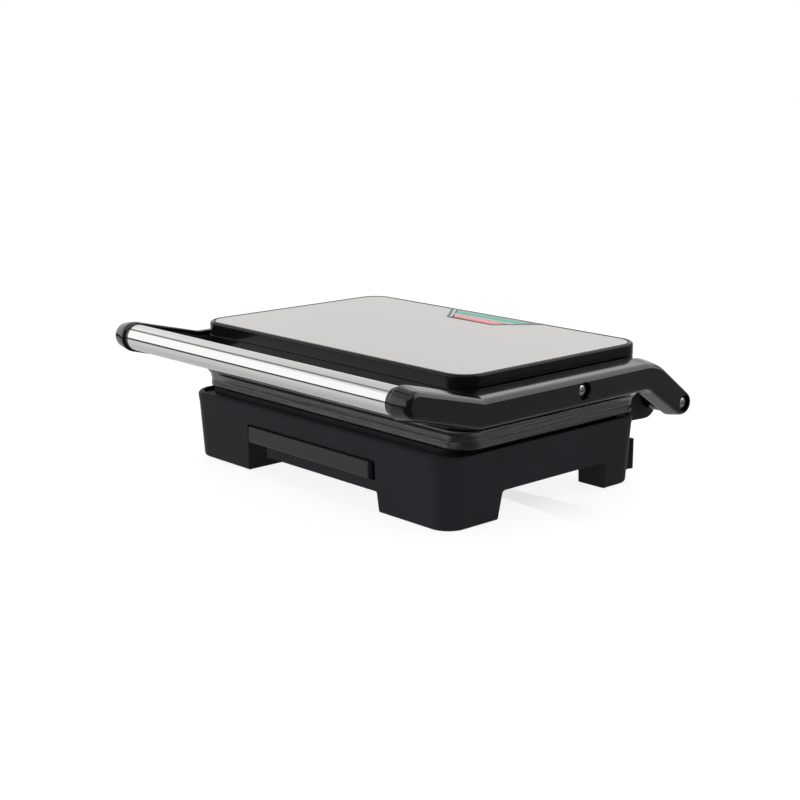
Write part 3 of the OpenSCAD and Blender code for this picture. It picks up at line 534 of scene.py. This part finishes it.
# The wall rises and widens from the feet to a rounded rim, which turns in and down to the recess
wall = [
    (FOOT_Z, 4.2, 0), (FOOT_Z + 0.3, 3.7, 0), (FOOT_Z + 1.0, 3.28, 0), (2.4, 3.17, 0),
    (20, 2.05, 0), (38, 0.9, 0), (40, 0.70, 0), (42, 0.42, 0), (43.4, 0.2, 0.1),
    (44.4, 0.06, 0.4), (45.0, 0.0, 1.0), (45.4, 0.05, 1.5), (45.68, 0.25, 2.0), (45.8, 0.6, 2.3),
    (45.8, 1.4, 2.4), (45.68, 1.75, 2.4), (45.4, 1.95, 2.4), (44.4, 2.1, 2.4),
]
base = loft(
    "base_shell",
    [base_ring(*row) for row in wall]
    + [
        outline(124.6, -87.8, 80.6, 13.6, 43.6),
        outline(118.1, -83.1, 76.1, 11.4, 43.6),
        outline(117.6, -82.6, 75.6, 11, 44.1),
        outline(117.5, -82.5, 75.5, 10.9, 47.3),
        outline(117.3, -82.3, 75.3, 10.7, 47.8),
        outline(116.7, -81.7, 74.7, 10.3, 48.0),
    ],
)
cavity = loft(
    "cavity",
    [
        outline(121.8, -86.5, 77.8, 12, 18.7),
        outline(119.0, -84.5, 75.9, 9, 40.6),
        outline(114.5, -79.5, 72.5, 8, 41.2),
        outline(114.5, -79.5, 72.5, 8, 45.5),
    ],
)
well = loft("well", [outline(110, -68, 68, 10, 40), outline(110, -68, 68, 10, 50)])
side_profile = (
    [(-48, -2), (-44.9, 16.6)]
    + arc(-42.5, 16.3, 2.4, 170, 90, 6)
    + arc(47.6, 16.3, 2.4, 90, 0, 6)
    + [(50.6, -2)]
)
front_profile = (
    [(-65.4, -2)]
    + arc(-62.6, 12.6, 1.2, 180, 90, 6)
    + arc(62.4, 12.6, 1.2, 90, 0, 6)
    + [(65.0, -2)]
)
rear_profile = (
    [(-102, -2)]
    + arc(-99.4, 16.5, 2.2, 180, 90, 6)
    + arc(99.4, 16.5, 2.2, 90, 0, 6)
    + [(102, -2)]
)
notch_profile = (
    [(-63.6, -98), (-41.2, -98)]
    + arc(-41.8, -87.9, 3.0, 235, 180, 5)
    + [(-44.8, -82.5), (-63.6, -82.5)]
)
arches = [
    prism("side_arches", side_profile, "x", -140, 140),
    prism("front_arch", front_profile, "y", -100, -50),
    block("behind_wall", (-64, -86.9, -2), (64, -40, 18.7)),
    prism("rear_arch", rear_profile, "y", 45, 90),
]
tray_slot = block("tray_slot", (-62.8, -98, 20.8), (62.8, -82.5, 32.9))
finger_notch = prism("finger_notch", notch_profile, "z", 13, 21.5)
cord_hole = prism("cord_hole", arc(-62, 30, 5.8, 0, 351, 39), "y", 63, 103)
foot_seats = [
    lathe_z("foot_seat", [(-1, 6.1), (2.0, 6.1)], x, y)
    for x, y in ((106, -76), (-106, -76), (112.5, 66), (-112.5, 66))
]
cut(base, cavity, well, *arches, tray_slot, finger_notch)
cut(base, cord_hole, *foot_seats)
soften(base, 0.7, 3, 40)


def lug(low, high):
    """Hinge lug: rises from the rear wall round the pivot and slopes back down to the rim."""
    profile = (
        [(81.2, 37.0), (HINGE_Y - 2, 36.0)]
        + arc(HINGE_Y, 47.0, 11, -82.5, 0, 11)
        + arc(HINGE_Y, HINGE_Z, 11, 0, 158, 26)
        + [(91.6, 51.2), (88.6, 48.6), (85.2, 47.0), (81.2, 46.2)]
    )
    piece = prism("lug", profile, "x", low, high)
    soften(piece, 1.3, 4, 30)
    return piece


gather(base, lug(99, 113), lug(-113, -99))
smooth(base)
finish_piece(base, "base", "moulded_black", "base_casing")


def hook(side):
    """Upright cord hook behind a rear leg, with a small lip on its outer side."""
    profile = [(104, 76), (112, 76), (112, 89.8), (112.8, 90.2), (112.8, 92.5), (104, 92.5)]
    piece = prism("cord_hooks", [(side * x, y) for x, y in profile], "z", 4, 24.5)
    soften(piece, 0.8, 4, 30)
    return piece


hooks = hook(1)
gather(hooks, hook(-1))
smooth(hooks)
finish_piece(hooks, "base", "moulded_black", "cord_cleats")

# ---------- drip tray ----------

tray = loft(
    "tray",
    [
        outline(56.6, -90.4, 20.2, 5, 21.3), outline(57.6, -91, 21.2, 5.6, 21.7),
        outline(58, -91.4, 21.6, 6, 22.6), outline(58, -91.4, 21.6, 6, 31.2),
        outline(57.8, -91.2, 21.4, 5.8, 31.5), outline(56.7, -90.1, 20.3, 4.8, 31.5),
        outline(56.5, -89.9, 20.1, 4.6, 31.2), outline(56.3, -89.7, 19.9, 4.6, 24.6),
        outline(55.4, -88.8, 19.0, 4, 23.3), outline(53.4, -86.8, 17.0, 3, 22.9),
    ],
)


def panel_ring(y, inset, r):
    """Outline of the tray's front at a depth, in the plane of the front wall."""
    side, top, bottom = 59.4 - inset - r, 32.2 - inset - r, 21.6 + inset + r
    corners = (
        arc(side, top, r, 90, 0, 6) + arc(side, bottom, r, 0, -90, 6)
        + arc(-side, bottom, r, -90, -180, 6) + arc(-side, top, r, 180, 90, 6)
    )
    return [(x, y, z) for x, z in corners]


panel = loft(
    "panel",
    [
        panel_ring(-89.6, 0.3, 0.8), panel_ring(-89.8, 0.0, 1.0), panel_ring(-92.5, 0.0, 1.0),
        panel_ring(-92.85, 0.1, 0.9), panel_ring(-93.08, 0.32, 0.8),
        panel_ring(-93.2, 0.7, 0.7), panel_ring(-93.2, 1.2, 0.6),
    ],
)
gather(tray, panel)
smooth(tray, 50)
finish_piece(tray, "tray", "moulded_black", "drip_tray", paint=TRAY_PAINT)

# ---------- grill plates ----------

RIB_COUNT, RIB_PITCH, RIB_REACH = 21, 10.0, 63
DRAIN_Y, DRAIN_SETBACK = -60, 12


def rib(x, base_z, up, front, back):
    """One rib along Y with a rounded top that runs down into the plate at its ends."""
    section = [
        (-2.6, -0.4), (-2.5, 0.0), (-2.15, 0.8), (-1.7, 1.7), (-1.25, 2.2), (-0.6, 2.4),
        (0.6, 2.4), (1.25, 2.2), (1.7, 1.7), (2.15, 0.8), (2.5, 0.0), (2.6, -0.4),
    ]
    stations = ((0, 0.05), (0.5, 0.45), (1.2, 0.78), (2.2, 0.95), (3.6, 1.0))
    places = [(front + d, s) for d, s in stations]
    places += [(back - d, s) for d, s in reversed(stations)]
    rings = []
    for y, s in places:
        wide = 0.55 + 0.45 * s
        rings.append([
            (x + px * wide, y, base_z + up * (pz * s if pz > 0 else pz)) for px, pz in section
        ])
    return loft("rib", rings)


def ribs(base_z, up, drained):
    """The ribs of a plate; in the drained one the middle rib starts behind the drain."""
    pieces = []
    for i in range(RIB_COUNT):
        x = (i - RIB_COUNT // 2) * RIB_PITCH
        front = -RIB_REACH + (DRAIN_SETBACK if drained and x == 0 else 0)
        pieces.append(rib(x, base_z, up, front, RIB_REACH))
    return pieces


lower_plate = loft(
    "lower_plate",
    [
        outline(108.5, -66.5, 66.5, 9, 45.2), outline(108.5, -66.5, 66.5, 9, 48.62),
        outline(126.9, -80.4, 80.4, 15, 48.62), outline(127.0, -80.5, 80.5, 15, 48.9),
        outline(126.8, -80.3, 80.3, 15, 51.4), outline(126.72, -80.22, 80.22, 15, 52.6),
        outline(126.66, -80.16, 80.16, 15, 52.68), outline(126.5, -80.0, 80.0, 14.9, 52.7),
    ],
)
cut(
    lower_plate,
    loft("bowl", [outline(107.4, -65.4, 65.4, 7, 49.2), outline(109, -67, 67, 8, 53)]),
    lathe_z("drain", [(40, 4), (55, 4)], 0, DRAIN_Y),
)
soften(lower_plate, 0.35, 2, 40)
gather(lower_plate, *ribs(49.2, 1, drained=True))
spout_profile = [(46, 5.6), (38.6, 5.4), (38.2, 5.0), (38.2, 4.0), (46, 4.0)]
gather(lower_plate, lathe_z("spout", spout_profile, 0, DRAIN_Y))
smooth(lower_plate)
finish_piece(lower_plate, "base", "cast_plate", "lower_grill_plate")

upper_plate = loft(
    "upper_plate",
    [
        outline(126.5, -80.0, 80.0, 14.9, 52.73), outline(126.68, -80.18, 80.18, 15, 52.76),
        outline(126.78, -80.28, 80.28, 15, 52.86), outline(127.5, -80.8, 80.8, 15.2, 56.6),
        outline(128.2, -81.3, 81.3, 15.5, 57.6), outline(129.6, -82.1, 82.1, 16.1, 59.0),
        outline(129.75, -82.25, 82.25, 16.2, 59.4), outline(129.65, -82.15, 82.15, 16.1, 59.75),
        outline(129.35, -81.85, 81.85, 15.9, 59.95), outline(128.9, -81.4, 81.4, 15.6, 60.0),
    ],
)
cut(upper_plate, loft("bowl", [outline(109, -67, 67, 8, 52), outline(107.4, -65.4, 65.4, 7, 56.2)]))
soften(upper_plate, 0.35, 2, 40)
gather(upper_plate, *ribs(56.2, -1, drained=False))
smooth(upper_plate)
finish_piece(upper_plate, "upper_grill", "cast_plate", "upper_grill_plate")

# ---------- upper casing ----------


def casing_ring(z, inset):
    """Outline of the upper casing at a height, drawn in by the inset."""
    return outline(126.8 - inset, -80.7 + inset, 80.7 - inset, 15.5 - inset * 0.9, z)


casing = loft(
    "casing",
    [
        casing_ring(60.0, 0.35), casing_ring(60.15, 0.1), casing_ring(60.5, 0), casing_ring(72, 0),
        casing_ring(83.4, 0), casing_ring(83.7, 0.08), casing_ring(83.85, 0.3),
        casing_ring(83.85, 2.3), casing_ring(72, 2.3), casing_ring(60.0, 2.3),
    ],
    closed=True,
)
smooth(casing, 50)
finish_piece(casing, "upper_grill", "gloss_black", "upper_casing", paint=CASING_PAINT)

cap = loft(
    "casing_cap",
    [
        casing_ring(84.1, 0.4), casing_ring(84.2, 0.12), casing_ring(84.5, 0), casing_ring(87, 0),
        casing_ring(91.2, 0.0), casing_ring(91.75, 0.1), casing_ring(92.2, 0.33),
        casing_ring(92.55, 0.65), casing_ring(92.8, 1.05), casing_ring(92.95, 1.5),
        casing_ring(93.0, 2.0), casing_ring(93.0, 2.4), casing_ring(92.92, 2.6),
        casing_ring(92.7, 2.7), casing_ring(89.2, 2.7),
    ],
)


COVER_INSET = 3.4
NOTCH_FRONT, NOTCH_HALF = 51.1, 21.5
# Half width that the notch gains for each mm towards the rear
NOTCH_SLOPE = 24.5 / 29.6
# Heights between which a cutter goes right through the top
CUT_LOW, CUT_HIGH = 88, 94
LENS_MIDDLES = {"green": 72.2, "red": 58.2}


def cover_ring(z, inset):
    return casing_ring(z, COVER_INSET + inset)


def trapezoid(inset):
    """The notch in the cover's rear edge, which holds the indicators; narrow end in front."""
    near, far = NOTCH_HALF - inset * 0.6, 47 - inset
    front = NOTCH_FRONT + inset
    return [(-far, 82), (-near, front), (near, front), (far, 82)]


def lens_half(y):
    """Half length of a lens, which follows the sides of the notch."""
    return NOTCH_HALF + NOTCH_SLOPE * (y - NOTCH_FRONT) - 6


def lens_window(middle):
    front, back = middle - 5.2, middle + 5.2
    near, far = lens_half(front) + 1.0, lens_half(back) + 1.0
    profile = [(-near, front), (near, front), (far, back), (-far, back)]
    return prism("window", profile, "z", CUT_LOW, CUT_HIGH)


def rear_edge(y):
    """Cutter for everything behind y in the notch."""
    return block("edge", (-60, y, CUT_LOW), (60, 95, CUT_HIGH))


cover = loft(
    "steel_top",
    [
        cover_ring(89.3, 0), cover_ring(92.5, 0), cover_ring(92.65, 0.04), cover_ring(92.76, 0.14),
        cover_ring(92.8, 0.3),
    ],
)
cut(cover, prism("notch", trapezoid(0), "z", CUT_LOW, CUT_HIGH))
soften(cover, 0.12, 2, 45)
smooth(cover)
finish_piece(cover, "upper_grill", "brushed_cover", "steel_cover")

notch_frame = prism("notch_frame", trapezoid(0.2), "z", 89.0, 92.98)
cut(notch_frame, prism("hole", trapezoid(1.6), "z", CUT_LOW, CUT_HIGH), rear_edge(78.1))
soften(notch_frame, 0.15, 2, 30)
gather(cap, notch_frame)
smooth(cap, 50)
finish_piece(cap, "upper_grill", "gloss_black", "upper_casing_top", paint=CASING_PAINT)

bezel = prism("bezel", trapezoid(1.8), "z", 89.2, 92.8)
cut(bezel, rear_edge(77.9), *[lens_window(middle) for middle in LENS_MIDDLES.values()])
soften(bezel, 0.25, 3, 30)
smooth(bezel)
finish_piece(bezel, "upper_grill", "bezel_grey", "indicator_bezel")


def lens(name, middle):
    """A bar whose near half is rolled down towards the front and whose ends are slanted."""
    rings = []
    for d, top in (
        (-4.3, 91.8), (-4.25, 92.0), (-4.0, 92.25), (-3.4, 92.5), (-2.4, 92.7), (-1.2, 92.85),
        (0, 92.92), (2.6, 92.95), (3.7, 92.92), (4.1, 92.8), (4.25, 92.6), (4.3, 92.3),
    ):
        half = lens_half(middle + d)
        profile = [
            (-half, 89), (half, 89), (half, top - 0.4), (half - 0.1, top - 0.12),
            (half - 0.4, top), (0.4 - half, top), (0.1 - half, top - 0.12), (-half, top - 0.4),
        ]
        rings.append([(x, middle + d, z) for x, z in profile])
    return loft(name, rings)


for colour, middle in LENS_MIDDLES.items():
    bar = lens("lens_" + colour, middle)
    smooth(bar, 50)
    finish_piece(bar, "upper_grill", "lens_" + colour, "indicator_lens_" + colour)

# ---------- arms ----------

# The arm's middle line is a path in (y, z): from the handle down to a level run, then to the hinge
BEND_FRONT, BEND_BACK, ARM_Z = -81.0, 72.0, 74.0
NOSE_HALF, ARM_HALF, TAIL_HALF = 10.0, 10.5, 9.5
ARM_POINTS = [(TUBE_Y, TUBE_Z), (BEND_FRONT, ARM_Z), (BEND_BACK, ARM_Z), (HINGE_Y, HINGE_Z)]
RUN_STEP, BEND_STEPS, CAP_STEPS = 2.0, 12, 14


def rounded_path(points, radii):
    """Samples (point, normal) along straight runs joined by curves."""
    points = [Vector(p) for p in points]
    cursor = points[0]
    path = [cursor]
    for i in range(1, len(points)):
        here = start = end = points[i]
        bends = i < len(points) - 1
        if bends:
            back = (points[i - 1] - here).normalized()
            ahead = (points[i + 1] - here).normalized()
            reach = radii[i - 1] / math.tan(math.acos(back.dot(ahead)) / 2)
            start, end = here + back * reach, here + ahead * reach
        count = max(1, int((start - cursor).length / RUN_STEP))
        path += [cursor.lerp(start, k / count) for k in range(1, count + 1)]
        if bends:
            for k in range(1, BEND_STEPS + 1):
                t = k / BEND_STEPS
                path.append(start.lerp(here, t).lerp(here.lerp(end, t), t))
            cursor = end
    samples = []
    for i, p in enumerate(path):
        direction = (path[min(i + 1, len(path) - 1)] - path[max(i - 1, 0)]).normalized()
        samples.append((p, Vector((-direction.y, direction.x))))
    return samples


ARM_PATH = rounded_path(ARM_POINTS, [16, 26])


def arm_half(p):
    """Half height of the arm at a point of its path."""
    if p.x < BEND_FRONT:
        done = min(1, (p.x - TUBE_Y) / (BEND_FRONT - TUBE_Y))
        return NOSE_HALF + (ARM_HALF - NOSE_HALF) * done
    done = min(1, max(0, (p.x - BEND_BACK) / (HINGE_Y - BEND_BACK)))
    return ARM_HALF - (ARM_HALF - TAIL_HALF) * done


def chain_ring(path, half, x, inset):
    """Closed outline of the arm at one x: along the top, round the tail, back, round the nose."""
    top, bottom = [], []
    for p, normal in path:
        h = half(p) - inset
        top.append((x, p.x + normal.x * h, p.y + normal.y * h))
        bottom.append((x, p.x - normal.x * h, p.y - normal.y * h))

    def end(p, normal, sign):
        h = half(p) - inset
        start = math.atan2(normal.y * sign, normal.x * sign)
        turn = [start - math.pi * k / CAP_STEPS for k in range(1, CAP_STEPS)]
        return [(x, p.x + h * math.cos(a), p.y + h * math.sin(a)) for a in turn]

    return top + end(*path[-1], 1) + bottom[::-1] + end(*path[0], -1)


def chain_solid(name, path, half, layers):
    """Lofts chain outlines across X and closes both faces with strips."""
    rings = [chain_ring(path, half, x, inset) for x, inset in layers]
    n, m = len(rings[0]), len(path)
    verts = [p for ring in rings for p in ring]
    faces = []
    for i in range(len(rings) - 1):
        for k in range(n):
            k2 = (k + 1) % n
            faces.append((i * n + k, i * n + k2, (i + 1) * n + k2, (i + 1) * n + k))
    for ring in (0, len(rings) - 1):
        o = ring * n
        first_bottom = m + CAP_STEPS - 1
        for k in range(m - 1):
            low = first_bottom + (m - 1 - k)
            faces.append((o + k, o + k + 1, o + low - 1, o + low))
        faces.append(tuple(o + k for k in range(m - 1, first_bottom + 1)))
        nose = list(range(first_bottom + m - 1, n)) + [0]
        faces.append(tuple(o + k for k in nose))
    return new_object(name, verts, faces)


# (distance out from the inner face, inset of the outline): rounded edges, tapering outward
ARM_SECTION = [
    (0.0, 0.7), (0.25, 0.3), (0.7, 0.05), (1.2, 0.0), (4.0, 0.35), (10.2, 1.45), (11.2, 1.7),
    (12.1, 2.1), (12.9, 2.7), (13.5, 3.5), (13.85, 4.4), (14.0, 5.3),
]
PIVOTS = ((PIVOT_Y, PIVOT_Z), (HINGE_Y, HINGE_Z))
COVER_SCREWS = ((-98, 78.4), (-50, ARM_Z), (48, ARM_Z), (86, 64.2))
BORE_R, SINK_R = 3.05, 5.5
arm = chain_solid("arm_right_shell", ARM_PATH, arm_half, [(ARM_X + x, i) for x, i in ARM_SECTION])
inner_path = [(p, normal) for p, normal in ARM_PATH if -119 < p.x < 93.5]
bore = [(ARM_X - 2, BORE_R), (ARM_X + 16, BORE_R)]
sink = [(ARM_X + 9.6, SINK_R), (ARM_X + 15, SINK_R)]
cut(
    arm,
    chain_solid("recess", inner_path, lambda p: 7.8, [(ARM_X - 2, 0), (ARM_X + 1.8, 0)]),
    *[lathe_x("bore", bore, y, z, 40) for y, z in PIVOTS],
    *[lathe_x("sink", sink, y, z, 48) for y, z in PIVOTS],
)
soften(arm, 0.35, 3, 48)
boss = [(115.2, BORE_R), (115.2, 7.6), (115.5, 8.0), (ARM_X + 2, 8.0), (ARM_X + 2, BORE_R)]
gather(arm, lathe_x("boss", boss, HINGE_Y, HINGE_Z))
smooth(arm, 50)
inner = chain_solid("arm_inlay_right", inner_path, lambda p: 7.6, [
    (ARM_X + 0.05, 0.25), (ARM_X + 0.3, 0.0), (ARM_X + 1.75, 0.0),
])
screw_seat = [(ARM_X - 2, 2.4), (ARM_X + 1, 2.4), (ARM_X + 1, 1.3), (ARM_X + 4, 1.3)]
cut(
    inner,
    lathe_x("bore", [(ARM_X - 2, 3.7), (ARM_X + 4, 3.7)], PIVOT_Y, PIVOT_Z, 40),
    *[lathe_x("seat", screw_seat, y, z, 32) for y, z in COVER_SCREWS],
)
smooth(inner, 50)
for piece, slot, stem in ((arm, "gloss_black", "arm_"), (inner, "moulded_black", "arm_cover_")):
    left = mirrored(piece, piece.name.replace("right", "left"))
    finish_piece(piece, "arms", slot, stem + "right")
    finish_piece(left, "arms", slot, stem + "left")

# ---------- handle ----------

TUBE_BORE, COLLAR_BORE, PLUG_R = 7.9, 2.6, 7.7
tube = lathe_x(
    "tube",
    [
        (-TUBE_END, TUBE_BORE), (-TUBE_END, TUBE_R - 0.15), (-TUBE_END + 0.15, TUBE_R),
        (-60, TUBE_R), (60, TUBE_R),
        (TUBE_END - 0.15, TUBE_R), (TUBE_END, TUBE_R - 0.15), (TUBE_END, TUBE_BORE),
    ],
    TUBE_Y, TUBE_Z, 96,
)
smooth(tube, 50)
finish_piece(tube, "arms", "polished_tube", "handle_tube")
collar = lathe_x(
    "collar_right",
    [
        (TUBE_END - 14, COLLAR_BORE), (TUBE_END - 14, PLUG_R - 0.3), (TUBE_END - 13.6, PLUG_R),
        (TUBE_END, PLUG_R), (TUBE_END, TUBE_R - 0.3), (TUBE_END + 0.3, TUBE_R),
        (ARM_X - 0.35, TUBE_R), (ARM_X, TUBE_R - 0.35), (ARM_X, COLLAR_BORE),
    ],
    TUBE_Y, TUBE_Z, 96,
)
smooth(collar, 40)
left_collar = mirrored(collar, "collar_left")
finish_piece(collar, "arms", "gloss_black", "handle_collar_right")
finish_piece(left_collar, "arms", "gloss_black", "handle_collar_left")

# ---------- pivot screws ----------


def pivot_screw(shoulder_x, tip_x, y, z):
    """Shoulder screw with a domed cross-recess head, pointing inward."""
    head, shoulder_r, thread_r = ARM_X + 9.9, 3.0, 2.0
    screw = lathe_x(
        "screw",
        [
            (tip_x, 1.6), (tip_x + 0.5, thread_r), (shoulder_x, thread_r),
            (shoulder_x, shoulder_r), (head, shoulder_r),
            (head, 3.6), (head + 0.25, 3.9), (head + 1.0, 3.9), (head + 1.5, 3.65),
            (head + 1.95, 3.0), (head + 2.2, 2.0), (head + 2.3, 0.8),
        ],
        y, z, 48,
    )
    slots = []
    for turn in (0.35, 0.35 + math.pi / 2):
        c, s = math.cos(turn), math.sin(turn)
        rings = []
        for x, long, wide in ((head + 0.9, 1.3, 0.35), (head + 2.8, 2.5, 0.55)):
            corners = ((-long, -wide), (long, -wide), (long, wide), (-long, wide))
            rings.append([(x, y + a * c - b * s, z + a * s + b * c) for a, b in corners])
        slots.append(loft("slot", rings))
    cut(screw, *slots)
    soften(screw, 0.1, 2, 50)
    smooth(screw, 50)
    return screw


for name, body, node, ends in (
    ("lid_screws", "upper_grill", "lid_pivot_screws", (126.8, 112.8, PIVOT_Y, PIVOT_Z)),
    ("hinge_screw_pair", "base", "hinge_screws", (113, 102, HINGE_Y, HINGE_Z)),
):
    screws = pivot_screw(*ends)
    screws.name = name
    gather(screws, mirrored(screws, name + "_left"))
    finish_piece(screws, body, "zinc_screws", node)
